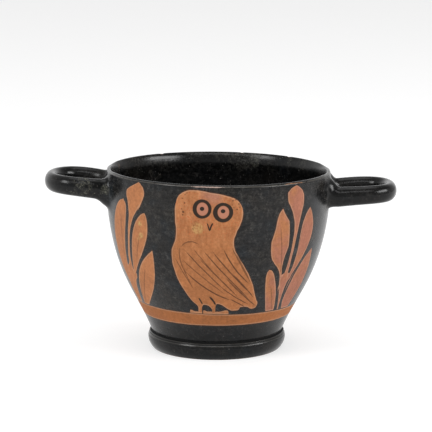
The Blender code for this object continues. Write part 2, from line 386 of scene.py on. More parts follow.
handles = {
    "halfWidth": 3.0, "halfHeight": 4.0, "rootHalfHeight": 4.6, "rootSink": 1.5,
    "rootFlare": 1.48, "rootFlareLength": 5.5, "strapPull": 17.5,
    "filletFlare": 0.22, "filletLength": 1.5,  # the last of the flare, pressed flat on the wall
    "sides": 40, "steps": 70, "crowding": 0.5,
    "seamReach": 5.0, "seamTurns": 40, "seamPull": 0.55, "seamGap": 0.002,  # the join, smoothed over
    "left": {"height": 73.06, "reach": 75.68, "bowPull": 12.1, "spread": 22.4, "splay": 30.0, "drop": 2.4,
             "lift": -0.3, "turn": 180.0},
    "right": {"height": 70.2, "reach": 77.68, "bowPull": 13.1, "spread": 21.2, "splay": 18.0, "drop": 2.0,
              "lift": 1.4, "turn": 0.0},
}


def handleLine(side):
    # centre line of a loop from root to root as (x, y, z, swell), with z measured from the bow
    wall = wallRadius(side["height"] - side["drop"])
    half, splay = side["spread"] / 2, math.radians(side["splay"])
    start = math.sqrt(wall**2 - half**2)
    bow = side["reach"] - handles["halfWidth"]
    strap = (start + handles["strapPull"] * math.cos(splay), half + handles["strapPull"] * math.sin(splay))
    line = []
    for x, y in bezier((start, half), strap, (bow, side["bowPull"]), (bow, 0.0), handles["steps"],
                       handles["crowding"]):
        near = (bow - x) / (bow - start)
        taller = 1 + (handles["rootHalfHeight"] / handles["halfHeight"] - 1) * near**3
        worked = max(0.0, 1 - (x - start) / handles["rootFlareLength"]) ** 2
        pressed = max(0.0, 1 - (x - start) / handles["filletLength"]) ** 2
        swell = taller * (1 + (handles["rootFlare"] - 1) * worked) + handles["filletFlare"] * pressed
        line.append((x, y, side["lift"] * worked - side["drop"] * near**2, swell))
    x, y, z, swell = line[0]
    sunk = 1 - handles["rootSink"] / wall
    line.insert(0, (sunk * x, sunk * y, z, swell))
    return line + [(x, -y, z, swell) for x, y, z, swell in reversed(line[:-1])]


def handleTree():
    sizes = {"Half width": "Float", "Half height": "Float", "Sides": "Int", "Join distance": "Float",
             "Clay": "Material"}
    tree, size = newTree("handleLoop", sizes)
    line = size["Geometry"].node("GeometryNodeMeshToCurve", None, {"Mesh": size["Geometry"]})
    line = line.node("GeometryNodeSetCurveNormal", {"mode": "Z_UP"}, {"Curve": line})
    swell = line.node("GeometryNodeInputNamedAttribute", {"data_type": "FLOAT"}, {"Name": "swell"})
    oval = line.node("GeometryNodeCurvePrimitiveCircle", {"mode": "RADIUS"},
                     {"Resolution": size["Sides"], "Radius": 1.0})
    x, y, _ = line.node("GeometryNodeInputPosition").parts()
    oval = oval.node("GeometryNodeSetPosition", None, {
        "Geometry": oval, "Position": (x * size["Half width"]).vector(y * size["Half height"])})
    loop = line.node("GeometryNodeCurveToMesh", None,
                     {"Curve": line, "Profile Curve": oval, "Scale": swell, "Fill Caps": True})
    closeTree(tree, loop, size)
    return tree


def handleMesh(name, tree, clay):
    side = handles[name]
    line = handleLine(side)
    mesh = bpy.data.meshes.new(name + "Line")
    mesh.from_pydata([(x * mm, y * mm, z * mm) for x, y, z, _ in line],
                     [(i, i + 1) for i in range(len(line) - 1)], [])
    swell = mesh.attributes.new("swell", "FLOAT", "POINT")
    for value, (_, _, _, amount) in zip(swell.data, line):
        value.value = amount
    values = {"Half width": handles["halfWidth"] * mm, "Half height": handles["halfHeight"] * mm,
              "Sides": handles["sides"], "Join distance": 0.01 * mm, "Clay": clay}
    loop = bake(name + "Handle", mesh, tree, values)
    loop.transform(Matrix.Translation((0, 0, side["height"] * mm))
                   @ Matrix.Rotation(math.radians(side["turn"]), 4, "Z"))
    outwardNormals(loop)
    return loop


def outwardNormals(mesh):
    shape = bmesh.new()
    shape.from_mesh(mesh)
    bmesh.ops.recalc_face_normals(shape, faces=shape.faces)
    if shape.calc_volume(signed=True) < 0:
        bmesh.ops.reverse_faces(shape, faces=shape.faces)
    shape.to_mesh(mesh)
    shape.free()


def joinedCup(body, loops):
    # the body and both loops as one skin of clay
    cupObject = bpy.data.objects.new("joinedCup", body)
    bpy.context.scene.collection.objects.link(cupObject)
    known = [vertex.co.copy() for mesh in [body, *loops] for vertex in mesh.vertices]
    tools = []
    for loop in loops:
        tool = bpy.data.objects.new("handleTool", loop)
        bpy.context.scene.collection.objects.link(tool)
        tools.append(tool)
        union = cupObject.modifiers.new("union", "BOOLEAN")
        union.operation, union.solver, union.object = "UNION", "EXACT", tool
    bpy.context.view_layer.update()
    graph = bpy.context.evaluated_depsgraph_get()
    mesh = bpy.data.meshes.new_from_object(cupObject.evaluated_get(graph))
    for used in [cupObject, *tools]:
        bpy.data.objects.remove(used, do_unlink=True)
    return mesh, known


def smoothSeams(mesh, known):
    # where a loop meets the wall, the crease of the union is worked smooth
    tree = KDTree(len(known))
    for i, place in enumerate(known):
        tree.insert(place, i)
    tree.balance()
    seam = [vertex.co.copy() for vertex in mesh.vertices if tree.find(vertex.co)[2] > handles["seamGap"] * mm]
    near = KDTree(len(seam))
    for i, place in enumerate(seam):
        near.insert(place, i)
    near.balance()
    shape = bmesh.new()
    shape.from_mesh(mesh)
    bmesh.ops.triangulate(shape, faces=[face for face in shape.faces if len(face.verts) > 4])
    reach = handles["seamReach"] * mm
    soft = {}
    for vertex in shape.verts:
        gap = near.find(vertex.co)[2]
        if gap < reach:
            soft[vertex] = handles["seamPull"] * (1 - gap / reach)
    for _ in range(handles["seamTurns"]):
        moved = {}
        for vertex, share in soft.items():
            others = [edge.other_vert(vertex).co for edge in vertex.link_edges]
            moved[vertex] = vertex.co.lerp(sum(others, Vector()) / len(others), share)
        for vertex, place in moved.items():
            vertex.co = place
    shape.to_mesh(mesh)
    shape.free()
    print("seam points smoothed:", len(soft), "around", len(seam))


# Wear that has taken clay away: (degrees from the owl side, height, radius from the axis, size, depth),
# with foot chips taken inwards and up
chips = {
    "lip": [(39.0, 79.2, 48.4, 0.8, 0.2), (138.0, 79.2, 48.0, 1.2, 0.35), (167.0, 79.2, 48.2, 1.3, 0.4),
            (213.0, 79.2, 47.9, 1.1, 0.35)],
    "footRise": 20.0,
    "foot": [(96.0, 6.2, 30.2, 1.2, 0.35), (190.0, 1.2, 28.9, 1.8, 0.45), (262.0, 6.2, 30.1, 1.1, 0.35)],
}


def chipPlace(chip):
    angle, height, radius = math.radians(chip[0]), chip[1], chip[2]
    return Vector((radius * math.sin(angle), -radius * math.cos(angle), height))


def chipAway(mesh):
    for chip in chips["lip"] + chips["foot"]:
        place, (size, depth) = chipPlace(chip), chip[3:]
        rise = -place.z if chip in chips["lip"] else chips["footRise"]
        into = Vector((-place.x, -place.y, rise)).normalized()
        for vertex in mesh.vertices:
            gap = (vertex.co / mm - place).length
            if gap < size:
                vertex.co += into * depth * mm * (1 - (gap / size) ** 2)


def leanAndCentre(mesh):
    # as the CAD solid: leaned on its level foot, with the middle of the whole cup over the origin
    slope = math.tan(math.radians(cup["lean"]))
    for vertex in mesh.vertices:
        x, y, z = vertex.co
        vertex.co = (x + slope * z, y, z - slope * x * z / (cup["height"] * mm))
    reach = [vertex.co.x for vertex in mesh.vertices]
    middle = (min(reach) + max(reach)) / 2
    mesh.transform(Matrix.Translation((-middle, 0.0, 0.0)))
    return -middle / mm


# The painting, in mm on the wall seen from the owl side: across, measured round a 46 mm radius, and up.
# A leaf is (base, tip, half width, bend to its left, where it is widest, how blunt it is), a stroke is
# (start, end, half width, bend), and a blade is the lines of its left and right sides, as (up, across).

painting = {
    "wallRadius": 46.0,
    "handWaver": 0.14, "waverSize": 3.6,
    "edgeSoftness": 0.11,
    "bandTop": 21.65, "bandBottom": 16.15, "bandTilt": -0.72,
    "leaves": [
        ((-51.6, 20.8), (-44.8, 69.3), 4.99, 4.37, 1.93, 0.38),
        ((-47.0, 33.2), (-31.9, 65.3), 3.99, -1.02, 1.88, 0.67),
        ((-57.0, 13.5), (-29.3, 49.5), 4.72, -2.85, 1.64, 1.0),
        ((30.6, 27.9), (42.3, 67.4), 4.15, -3.52, 2.40, 0.85),
        ((36.8, 11.4), (23.6, 41.5), 3.06, 0.70, 1.40, 0.39),
        ((44.8, 16.8), (48.6, 48.2), 6.73, 2.92, 0.98, 0.87),
    ],
    "blades": [
        (  # the left sprig's top leaf and stem
            [(20.0, -57.0), (29.5, -56.0), (35.0, -54.0), (39.5, -50.0), (42.0, -46.9), (47.2, -45.8),
             (53.7, -43.9), (57.4, -42.7), (61.0, -41.7), (64.6, -41.1), (69.7, -41.5), (72.0, -42.1),
             (73.7, -42.0), (74.9, -40.9), (76.2, -38.7), (77.9, -35.4), (78.6, -34.0)],
            [(22.4, -51.5), (28.0, -49.0), (33.5, -46.0), (37.0, -43.4), (39.3, -45.0), (43.0, -44.4),
             (50.3, -43.2), (54.0, -42.2), (57.7, -41.0), (60.5, -39.7), (63.3, -38.1), (65.3, -36.4),
             (67.3, -34.6), (69.6, -33.3), (71.6, -32.3), (73.6, -31.8), (75.6, -32.3), (77.3, -33.8),
             (78.6, -35.4)],
        ),
        (  # the right sprig's top leaf and stem
            [(20.0, 38.0), (24.3, 35.8), (28.4, 33.8), (32.4, 32.2), (36.4, 30.7), (38.0, 30.4), (39.4, 32.5),
             (42.5, 33.0), (50.1, 33.6), (57.6, 33.8), (61.1, 33.5), (64.3, 32.7), (67.0, 31.7), (69.3, 30.5),
             (72.0, 29.3), (74.1, 29.2), (75.9, 30.1), (77.0, 31.7), (78.0, 34.8)],
            [(20.0, 38.6), (24.6, 36.9), (27.6, 36.1), (31.0, 35.7), (34.3, 35.9), (36.9, 37.2), (38.4, 37.4),
             (39.4, 34.5), (43.6, 34.7), (51.2, 35.1), (58.2, 35.8), (64.2, 36.7), (67.2, 37.3), (69.7, 37.8),
             (72.3, 37.9), (74.5, 37.4), (76.3, 36.1), (78.0, 33.4)],
        ),
        (  # the right sprig's long leaf
            [(34.0, 31.2), (39.3, 29.6), (42.3, 27.7), (44.8, 25.3), (47.2, 23.7), (50.4, 22.9), (53.5, 22.7),
             (56.6, 23.3), (59.6, 24.0), (63.0, 24.5), (66.0, 25.2), (68.4, 26.8), (69.2, 27.6)],
            [(34.0, 32.0), (40.1, 30.6), (42.9, 30.1), (46.1, 30.3), (49.1, 31.0), (52.6, 31.7), (56.1, 31.8),
             (59.2, 31.5), (61.9, 30.9), (64.2, 29.5), (66.6, 27.9), (68.4, 27.0), (69.2, 26.4)],
        ),
    ],
    "leafGaps": [  # strokes of gloss that part the leaves
        ((-42.2, 69.8), (-48.3, 41.5), 0.58, 1.6), ((-35.3, 67.0), (-45.1, 38.7), 0.62, -1.41),
        ((-31.0, 50.9), (-48.9, 20.8), 0.66, -2.5),
        ((30.4, 68.0), (31.6, 38.9), 0.95, 1.5), ((38.9, 67.5), (35.1, 38.3), 0.68, -0.9),
        ((24.2, 45.0), (35.4, 21.0), 0.6, 0.5), ((47.3, 48.6), (39.0, 20.8), 0.62, -4.7),
    ],
    "leafFoot": 0.45, "owlFoot": 0.25,  # no leaf and no claw comes closer to the band
    "headTop": [(-17.5, 68.5), (-17.0, 71.4), (-16.2, 73.9), (-15.1, 75.3), (-13.6, 76.3),
                (-11.3, 77.0), (-8.9, 77.1), (-6.1, 76.8), (-3.4, 76.3), (-0.3, 75.8), (2.8, 75.1),
                (5.2, 74.4), (7.1, 73.3), (8.3, 72.0), (9.3, 70.0), (9.8, 67.5)],
    "leftSide": [(21.0, -10.3), (23.2, -10.1), (24.7, -9.9), (26.1, -10.5), (27.3, -11.9),
                 (29.3, -13.7), (32.8, -15.9), (37.3, -18.1), (42.0, -19.3), (45.8, -19.9),
                 (50.1, -19.8), (53.6, -18.6), (56.3, -17.6), (60.6, -17.2), (64.0, -17.5),
                 (68.8, -17.5), (74.7, -17.3)],
    "rightSide": [(23.6, 20.4), (24.6, 21.1), (25.8, 21.4), (28.0, 20.2), (31.2, 18.5), (35.8, 16.4),
                  (39.5, 14.4), (44.5, 11.3), (48.9, 8.5), (52.8, 6.7), (55.7, 6.4), (59.0, 7.2),
                  (62.4, 8.6), (65.5, 9.5), (68.6, 9.7), (74.0, 9.9)],
    "underside": [(-12.5, 20.6), (-8.4, 20.6), (-8.1, 24.2), (-7.7, 25.7), (-6.5, 26.5), (-5.0, 26.2),
                  (-3.6, 25.3), (-2.6, 24.0), (-2.3, 20.6), (-1.4, 20.6), (-1.1, 23.5), (-0.8, 26.2),
                  (0.3, 26.9), (1.9, 26.5), (4.1, 25.3), (6.3, 24.1), (8.5, 23.5), (10.4, 23.5),
                  (11.5, 23.9), (12.0, 24.9), (12.7, 25.2), (15.9, 25.0), (17.4, 24.3), (19.1, 23.9),
                  (20.8, 24.2), (22.0, 25.6)],
    "footTop": [(-15.3, 20.6), (-14.7, 23.2), (-14.3, 23.6), (-13.5, 23.4), (-12.1, 22.95),
                (-10.3, 22.9), (-8.6, 22.9), (-8.2, 21.2), (-7.8, 21.4), (-7.5, 23.4), (-7.1, 23.6),
                (-6.0, 23.3), (-5.0, 23.1), (-2.8, 23.1), (0.5, 23.05), (2.6, 23.3), (4.7, 23.7),
                (5.6, 23.6), (6.1, 22.8), (6.5, 20.6)],
    "eyes": [  # (middle of the ring, its half sizes, middle of the iris, its half sizes, pupil)
        ((-6.45, 69.35), (3.75, 4.1), (-6.3, 69.3), (2.25, 2.8), (-6.4, 69.5)),
        ((1.8, 68.0), (4.0, 4.2), (1.9, 68.1), (2.25, 2.75), (1.75, 68.6)),
    ],
    "pupil": 0.9,
    "darkStrokes": [  # (start, end, half width, bend)
        ((-4.5, 63.5), (-3.55, 60.0), 0.26, 0.1), ((-3.5, 60.0), (-2.1, 63.6), 0.34, 0.1),  # beak
        ((-9.3, 29.6), (-7.5, 26.6), 0.34, 0.1), ((-3.9, 30.4), (-0.8, 26.2), 0.46, 0.3),  # thighs
    ],
    # (across, up, radius)
    "freckles": [(-14.0, 67.8, 0.5), (-14.2, 66.5, 0.32), (-13.3, 75.1, 0.25), (-14.4, 73.5, 0.28),
                 (-14.6, 69.0, 0.25), (-13.4, 71.6, 0.33), (-12.5, 75.8, 0.2), (5.2, 74.4, 0.25),
                 (6.7, 73.4, 0.3), (5.6, 73.0, 0.3), (7.9, 71.6, 0.33), (5.3, 71.2, 0.25),
                 (6.0, 70.0, 0.25), (7.3, 69.4, 0.33), (8.3, 70.2, 0.22), (-10.1, 60.7, 0.25)],
    # (across, up, radius, strength)
    "spots": [(-8.2, 61.0, 2.4, 0.4), (-34.6, 60.5, 1.0, 0.8), (-34.6, 55.4, 1.1, 0.8),
              (-36.4, 54.0, 0.8, 0.6)],
    "wingStrokes": [
        ((-13.9, 41.4), (6.4, 28.8), 0.28, -1.54), ((-6.0, 51.5), (15.3, 29.3), 0.22, -0.89),
        ((3.5, 39.4), (20.8, 25.1), 0.24, -0.79), ((2.3, 52.2), (14.4, 36.4), 0.25, -1.32),
        ((-2.2, 51.1), (14.7, 32.6), 0.22, -0.7), ((-7.6, 47.6), (9.8, 30.2), 0.2, -0.2),
        ((-14.0, 51.4), (2.9, 33.9), 0.2, -0.35), ((6.5, 29.1), (14.6, 25.1), 0.2, 0.03),
        ((6.7, 40.9), (18.4, 29.3), 0.2, -0.13), ((1.0, 35.6), (16.4, 26.3), 0.19, -0.7),
    ],
    "faintStrokes": [
        ((-16.1, 52.0), (-13.7, 40.6), 0.2, -1.14), ((-15.3, 52.8), (-7.8, 54.1), 0.24, 1.6),
        ((-18.4, 47.5), (-11.7, 34.7), 0.19, -0.23), ((-16.5, 46.8), (-11.5, 33.8), 0.19, -0.04),
        ((-15.4, 47.2), (3.0, 32.1), 0.2, -0.48), ((5.7, 52.7), (14.0, 38.2), 0.2, -0.19),
        ((7.0, 50.8), (15.2, 36.6), 0.19, 0.02), ((-10.5, 52.5), (6.0, 33.5), 0.18, -0.5),
    ],
    "ribs": [
        ((-46.8, 63.0), (-49.6, 42.0), 0.19, -0.3), ((-35.4, 55.5), (-40.2, 43.5), 0.19, 0.0),
        ((-35.6, 41.0), (-47.0, 22.8), 0.21, 0.8), ((-42.1, 32.6), (-49.3, 22.4), 0.17, 0.0),
        ((26.1, 62.0), (30.2, 38.5), 0.21, 0.1), ((26.3, 34.0), (33.0, 21.4), 0.19, 0.0),
        ((38.6, 58.5), (37.0, 44.0), 0.15, 0.0), ((47.4, 39.0), (43.6, 24.0), 0.15, 0.6),
    ],
    # where painted shade darkens the foot's grooves
    "footGrooveShades": [(7.75, 0.4), (6.68, 0.1), (5.55, 0.08)],  # (up, half width)
    # footRidge: height of the painted highlight line on the ridge
    "footRidge": 7.1,
    "lipMark": ((-11.0, 78.5), (2.0, 78.55), 0.21, 0.0), "lipRub": ((28.0, 78.7), (38.0, 78.6), 0.13, 0.0),
}


def mapped(flat, start, angle, scale):
    return flat.node("ShaderNodeMapping", {"vector_type": "TEXTURE"}, {
        "Vector": flat, "Location": (*start, 0.0), "Rotation": (0.0, 0.0, angle), "Scale": (*scale, 1.0)})


def alongLine(flat, start, end, bend):
    # share of the way along a bent line, a value that is above 0 between its ends, and the distance from it
    run, rise = end[0] - start[0], end[1] - start[1]
    t, w, _ = mapped(flat, start, math.atan2(rise, run), (math.hypot(run, rise), 1.0)).parts()
    between = t * (1 - t)
    return t, between, abs(w - between * (4 * bend)) if bend else abs(w)


def strokeDepth(flat, stroke):
    start, end, half, bend = stroke
    _, between, away = alongLine(flat, start, end, bend)
    return (between * 7.0).least(1.0) * half - away


def leafDepth(flat, leaf):
    # how far inside a leaf's edge a point lies
    base, tip, half, bend, widest, blunt = leaf
    t, between, away = alongLine(flat, base, tip, bend)
    swell = ((t.maths("MAXIMUM", 0.001).least(0.999) ** widest) * math.pi).maths("SINE") ** blunt * half
    beyond = (between * math.dist(base, tip)).least(0.0)
    return swell - away + beyond


def bladeDepth(across, up, blade):
    left, right = (up.curve(side) for side in blade)
    return (across - left).least(right - across)


def greatest(values):
    best = values[0]
    for value in values[1:]:
        best = best.most(value)
    return best


def ellipseDepth(flat, middle, halves):
    away = mapped(flat, middle, 0.0, halves).vectorMaths("LENGTH", out=1)
    return (1 - away) * halves[0]


def dotDepth(place, middle, radius):
    return radius - place.vectorMaths("DISTANCE", middle, 1)


def deepestStroke(flat, name):
    return greatest([strokeDepth(flat, stroke) for stroke in painting[name]])


colours = {  # linear values of fired clay and gloss
    "gloss": (0.0078, 0.0080, 0.0084, 1), "glossBrown": (0.0128, 0.0108, 0.0088, 1),
    # groove: near-black, used as painted shade in the foot's grooves
    "glossBlue": (0.0070, 0.0092, 0.0115, 1), "groove": (0.002, 0.002, 0.002, 1),
    # the scratch colour: grey of scratches and smudges, also used for painted highlight lines on the foot
    "outline": (0.036, 0.016, 0.009, 1), "scratchAndHighlight": (0.105, 0.098, 0.088, 1),
    "owl": (0.325, 0.122, 0.043, 1), "owlPale": (0.385, 0.168, 0.070, 1), "owlRed": (0.37, 0.092, 0.030, 1),
    "owlPink": (0.29, 0.128, 0.085, 1),
    "leaf": (0.350, 0.137, 0.054, 1), "leafPink": (0.285, 0.110, 0.066, 1), "band": (0.280, 0.098, 0.030, 1),
    "rim": (0.46, 0.27, 0.165, 1), "line": (0.062, 0.023, 0.009, 1), "darkLine": (0.020, 0.012, 0.007, 1),
    "iris": (0.37, 0.155, 0.095, 1), "bareClay": (0.33, 0.155, 0.075, 1),
    "limeCrust": (0.25, 0.245, 0.185, 1), "tan": (0.17, 0.135, 0.090, 1), "dust": (0.095, 0.090, 0.075, 1),
    # the lip's grey line colour stands for wear and a painted highlight
    "yellow": (0.48, 0.36, 0.13, 1), "pinkWear": (0.45, 0.32, 0.27, 1), "lipWearAndHighlight": (0.14, 0.128, 0.112, 1),
}
finish = {"glossRoughness": 0.2, "wallRoughness": 0.05, "clayRoughness": 0.62, "reliefHeight": 0.06,
          "reliefStrength": 0.55, "denseShadedTone": 0.34, "refraction": 1.31}
grain = {  # noise through the clay and gloss: (how fine, detail, roughness)
    "cloud": (0.13, 3.0, 0.55), "fleck": (1.5, 2.0, 0.6), "fine": (0.9, 5.0, 0.75),
    "fading": (0.5, 2.0, 0.5), "shade": (0.055, 4.0, 0.6), "bluish": (0.09, 3.0, 0.6),
    "mottle": (0.7, 6.0, 0.75), "smudge": (0.4, 5.0, 0.75), "speckled": (0.16, 3.0, 0.5),
    "ragged": (0.33, 4.0, 0.65), "gritty": (1.3, 4.0, 0.8), "pitted": (2.2, 3.0, 0.6),
    "wavy": (0.45, 3.0, 0.5),
}
shares = {  # how strongly each shows
    "owlRed": 0.95, "brow": 0.8, "rim": 0.5, "feathers": 0.9, "faint": 0.7, "ribs": 0.5, "freckles": 0.8,
    "smudges": 0.36, "scratches": 0.4, "specks": 0.35, "outline": 0.7, "ridge": 0.28, "lipWearAndHighlight": 0.35,
    "dust": 0.32, "rubbed": 0.75, "chips": 0.7, "crustSpecks": 0.5,
}
footCircles = {"circle": 14.5, "circleHalf": 1.6, "dot": 2.6}  # radii painted inside the foot

patches = [  # crusts and worn spots: (x, y, z) in mm, radius, how ragged, colour, strength
    ((12.0, 45.0, 77.0), 8.0, 4.0, "dust", 0.35), ((17.0, 44.0, 76.5), 5.0, 5.0, "limeCrust", 0.3),
    ((-30.0, 34.0, 68.0), 6.0, 7.0, "tan", 0.12),
    ((-60.0, -13.0, 72.5), 7.5, 5.0, "limeCrust", 0.4), ((-50.0, -13.5, 71.5), 5.0, 5.0, "limeCrust", 0.55),
    ((-44.2, 14.5, 77.9), 2.4, 1.6, "rim", 0.6), ((-76.0, 3.0, 74.0), 2.6, 4.0, "bareClay", 0.5),
    ((75.9, -2.6, 68.6), 1.7, 1.6, "bareClay", 0.6), ((74.6, -6.4, 69.4), 1.2, 1.6, "bareClay", 0.5),
    ((76.6, 2.0, 70.6), 1.3, 2.0, "bareClay", 0.45),
]


def wallSpot(tree, shift):
    # where a point of the cup lies, in mm round the cup's own axis, upright and as if unmoved
    place = Wire(tree, tree.nodes.new("ShaderNodeTexCoord").outputs["Object"]).scaled(1 / mm)
    slope = math.tan(math.radians(cup["lean"]))
    x, y, z = place.parts()
    x = x - shift
    height = z * (x * (slope / cup["height"]) + 1.0)
    x = x - height * slope
    away = x.vector(y).vectorMaths("LENGTH", out=1)

    # the same picture on both sides, the further one plainer
    front = y.maths("LESS_THAN", 0.0)
    across = (x * (front * 2.0 - 1.0)).maths("ARCTAN2", abs(y)) * painting["wallRadius"]
    waver = place.noise(1 / painting["waverSize"], 2.0, 0.5, 1).parts()
    across = across + (waver[0] - 0.5) * (2 * painting["handWaver"])
    up = height + (waver[1] - 0.5) * (2 * painting["handWaver"])

    # outside wall, inside and handles, told apart by the distance from the wall's outer side
    proud = away - height.curve([(z, r) for r, z in wallCurve(9)] + [(79.2, cup["lipRadius"])])
    outside = proud.step(-1.5, -1.2) * proud.step(0.75, 0.55)
    aboveFoot = height.step(8.6, 22.0)
    return SimpleNamespace(
        place=place, height=height, away=away, front=front, tilt=x / away, across=across, up=up,
        flat=across.vector(up), proud=proud, outside=outside, aboveFoot=aboveFoot,
        dense=1 - outside * aboveFoot * height.step(78.6, 77.6),  # where the gloss lies thicker, and where it is darkened as painted shade
        noise={name: place.noise(*values) for name, values in grain.items()})


def drawnPicture(spot):
    # how far inside the edge of each figure a point lies
    across, up, flat = spot.across, spot.up, spot.flat
    bandTop = spot.tilt * painting["bandTilt"] + painting["bandTop"]
    band = (bandTop - up).least(up - painting["bandBottom"])

    left, right = up.curve(painting["leftSide"]), up.curve(painting["rightSide"])
    top, under = across.curve(painting["headTop"]), across.curve(painting["underside"])
    body = (across - left).least(right - across).least(top - up).least(up - under)
    feet = across.curve(painting["footTop"]) - up
    owl = body.most(feet).least(up - bandTop - painting["owlFoot"])

    leaves = [leafDepth(flat, leaf) for leaf in painting["leaves"]]
    leaves += [bladeDepth(across, up, blade) for blade in painting["blades"]]
    gaps = deepestStroke(flat, "leafGaps")
    sprigs = greatest(leaves).least(-gaps).least(up - bandTop - painting["leafFoot"])
    return SimpleNamespace(band=band, body=body, owl=owl, sprigs=sprigs, figure=greatest([owl, sprigs, band]))


def bareTone(spot, drawn):
    # reserved clay: colour by figure, cloudy and streaked
    cloud, fleck, fine = (spot.noise[name] for name in ("cloud", "fleck", "fine"))
    streaks = spot.place.stretched((1.0, 1.0, 0.3)).noise(0.62, 4.0, 0.6)
    leafTone = (cloud * 1.6 + spot.tilt * 0.5).step(0.75, 1.25).blend(colours["leaf"], colours["leafPink"])
    paler = (streaks * 0.7 + (spot.up - 58.0) * 0.006).step(0.24, 0.66)
    redder = fleck.step(0.50, 0.72) * spot.up.step(50.0, 64.0) * shares["owlRed"]
    owlTone = redder.blend(paler.blend(colours["owl"], colours["owlPale"]), colours["owlRed"])
    brow = spot.up.step(69.0, 75.0) * abs(spot.across + 2.6).step(6.0, 2.0)
    owlTone = (brow * cloud.step(0.3, 0.6) * shares["brow"]).blend(owlTone, colours["owlPink"])
    tone = drawn.owl.step(-0.3, -0.1).blend(leafTone, owlTone)
    tone = drawn.band.step(-0.3, -0.1).blend(tone, colours["band"])
    tone = tone.scaled(streaks * 0.5 + cloud * 0.4 + fine * 1.3 - 0.08)
    spots = greatest([dotDepth(spot.flat, (a, b, 0.0), radius).step(-0.6, 0.8) * strength
                      for a, b, radius, strength in painting["spots"]])
    tone = (spots * spot.front * fine.step(0.4, 0.55)).blend(tone, colours["yellow"])
    rim = drawn.figure.step(0.02, 0.14) * drawn.figure.step(0.62, 0.26)
    return (rim * shares["rim"]).blend(tone, colours["rim"])


def brushedLines(spot, drawn, tone):
    # eyes, brush lines and freckles, laid over the clay's own tone
    flat = spot.flat
    rings, irises, pupils = [], [], []
    for middle, halves, irisMiddle, irisHalves, pupil in painting["eyes"]:
        iris = ellipseDepth(flat, irisMiddle, irisHalves)
        rings.append(ellipseDepth(flat, middle, halves).least(-iris))
        irises.append(iris)
        pupils.append(dotDepth(flat, (*pupil, 0.0), painting["pupil"]))
    tone = greatest(irises).step(-0.1, 0.2).blend(tone, colours["iris"])

    feathers = deepestStroke(flat, "wingStrokes").step(-0.12, 0.06) * shares["feathers"]
    faint = deepestStroke(flat, "faintStrokes").step(-0.14, 0.08) * shares["faint"]
    ribs = deepestStroke(flat, "ribs").step(-0.14, 0.08) * shares["ribs"]
    worn = (spot.noise["fading"] * 0.9 + 0.5).least(1.0)
    lines = feathers.most(faint) * (spot.front * 0.4 + 0.6) * drawn.body.step(0.0, 0.3)
    lines = (lines * worn).most(ribs * drawn.sprigs.step(0.0, 0.3))
    tone = lines.blend(tone, colours["line"])
    freckles = greatest([dotDepth(flat, (a, b, 0.0), radius) for a, b, radius in painting["freckles"]])
    tone = (freckles.step(-0.14, 0.14) * shares["freckles"]).blend(tone, colours["line"])
    dark = greatest(rings + pupils + [deepestStroke(flat, "darkStrokes")])
    return dark.step(-0.12, 0.14).blend(tone, colours["darkLine"])


def glossMarks(spot):
    # long fine scratches, and specks where the gloss is flecked
    place = spot.place
    scratchA = place.stretched((0.25, 0.25, 2.6)).noise(1.1, 4.0, 0.7)
    scratchB = place.node("ShaderNodeMapping", {"vector_type": "POINT"}, {
        "Vector": place, "Rotation": (0.5, 0.9, 0.3), "Scale": (0.3, 0.3, 2.2)}).noise(1.2, 4.0, 0.7)
    cells = place.node("ShaderNodeTexVoronoi", None, {"Vector": place, "Scale": 0.85})
    chosen = Wire(place.tree, cells.socket.node.outputs["Color"]).parts()[0]
    specks = (chosen * 0.36 - 0.13 - cells).step(-0.02, 0.06) * spot.noise["speckled"].step(0.40, 0.66)
    return scratchA.step(0.61, 0.74).most(scratchB.step(0.63, 0.76)), specks


def glossTone(spot, drawn, scratches, specks):
    # black gloss, cloudy, brushed, mottled and scratched; painted shade darkens it in the foot's grooves and,
    # with its denser gloss, inside and on the foot and handles; painted highlight lines on the foot
    mottle, dense, height = spot.noise["mottle"], spot.dense, spot.height
    gloss = spot.noise["shade"].step(0.42, 0.72).blend(colours["gloss"], colours["glossBrown"])
    gloss = spot.noise["bluish"].step(0.48, 0.72).blend(gloss, colours["glossBlue"])
    brushed = (spot.place.stretched((0.22, 0.22, 1.0)).noise(0.8, 4.0, 0.65) - 0.5) * 3.0
    gloss = gloss.scaled((mottle * 4.0 - 1.0 + brushed).most(0.2))
    # inside the cup, on the lip, foot and handles the gloss is darker: partly its denser gloss, partly
    # painted shade
    gloss = gloss.scaled(1 - dense * (1 - finish["denseShadedTone"]))
    smudges = spot.noise["smudge"].step(0.46, 0.7) * mottle.step(0.38, 0.62)
    smudges = smudges * shares["smudges"] * (1 - dense * 0.6)
    marks = scratches * shares["scratches"] * (1 - dense * 0.7) + specks * shares["specks"] * (dense + 1)
    gloss = marks.blend(smudges.blend(gloss, colours["scratchAndHighlight"]), colours["scratchAndHighlight"])
    outline = drawn.figure.step(-0.7, -0.15) * spot.outside * shares["outline"]
    gloss = outline.blend(gloss, colours["outline"])
    # near-black painted shade laid in the foot's grooves
    shadedGrooves = greatest([half - abs(height - middle) for middle, half in painting["footGrooveShades"]])
    shadedGrooves = shadedGrooves.step(-0.1, 0.1)
    gloss = shadedGrooves.blend(gloss, colours["groove"])
    # lighter lines along the foot's ridge and upper edge: painted highlight, on the ridge partly wear
    ridge = (0.16 - abs(height - painting["footRidge"])).step(-0.1, 0.1)
    ridge = ridge + height.step(5.9, 6.1) * height.step(6.5, 6.3)
    return (ridge * shares["ridge"]).blend(gloss, colours["scratchAndHighlight"]), shadedGrooves


def unpaintedFoot(spot):
    # the foot from below is bare clay with a ring and a dot
    away, height = spot.away, spot.height
    below = height.step(0.1, 0.03).most(away.step(25.2, 24.9) * height.step(6.0, 5.6))
    circles = footCircles["circleHalf"] - abs(away - footCircles["circle"])
    circles = circles.most(footCircles["dot"] - away)
    return below * (1 - circles.step(-0.1, 0.1) * height.step(4.0, 4.4))


